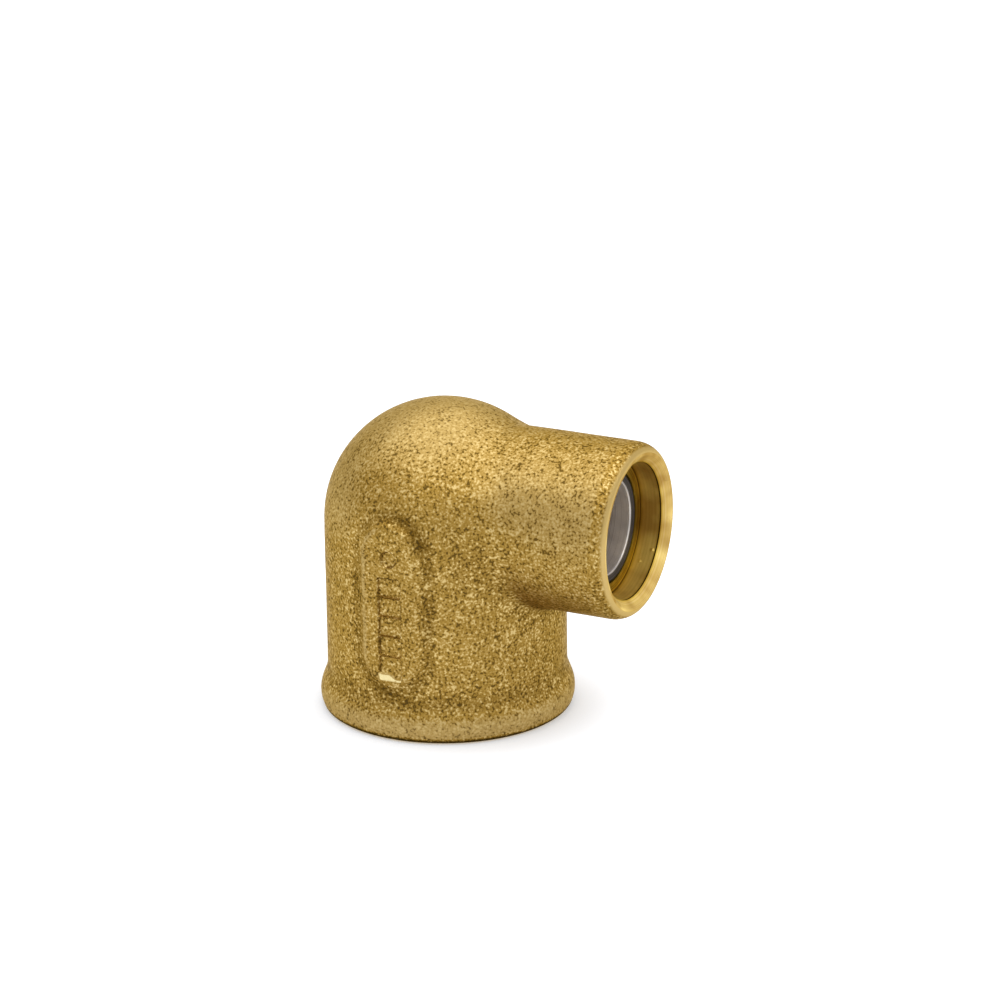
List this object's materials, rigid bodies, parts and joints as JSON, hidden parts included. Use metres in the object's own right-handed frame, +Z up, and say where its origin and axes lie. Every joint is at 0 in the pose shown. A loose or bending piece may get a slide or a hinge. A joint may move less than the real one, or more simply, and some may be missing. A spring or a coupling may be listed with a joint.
{
  "type": "elbow fitting",
  "caption": "Forged brass right-angle pipe elbow: threaded foot with a bead, domed barrel, plain tube socket on the side with a pressed-in steel sleeve.",
  "frame": {"origin": "on the foot's face plane, in the middle of the fitting's outline; the foot's axis is at x = -5.6 mm, y = 0", "axes": "+Z up the foot's axis, away from the foot's face; +X along the side port, out of its mouth; the marking pad is on the -Y side"},
  "size_m": [0.0452, 0.034, 0.0418],
  "materials": {
    "forged_brass": "shot-blasted forging, machined at the rim, bores and foot face",
    "turned_steel": "fine turned"
  },
  "bodies": {
    "root": {"elbow_body": "forged_brass", "port_sleeve": "turned_steel"}
  },
  "joints": []
}
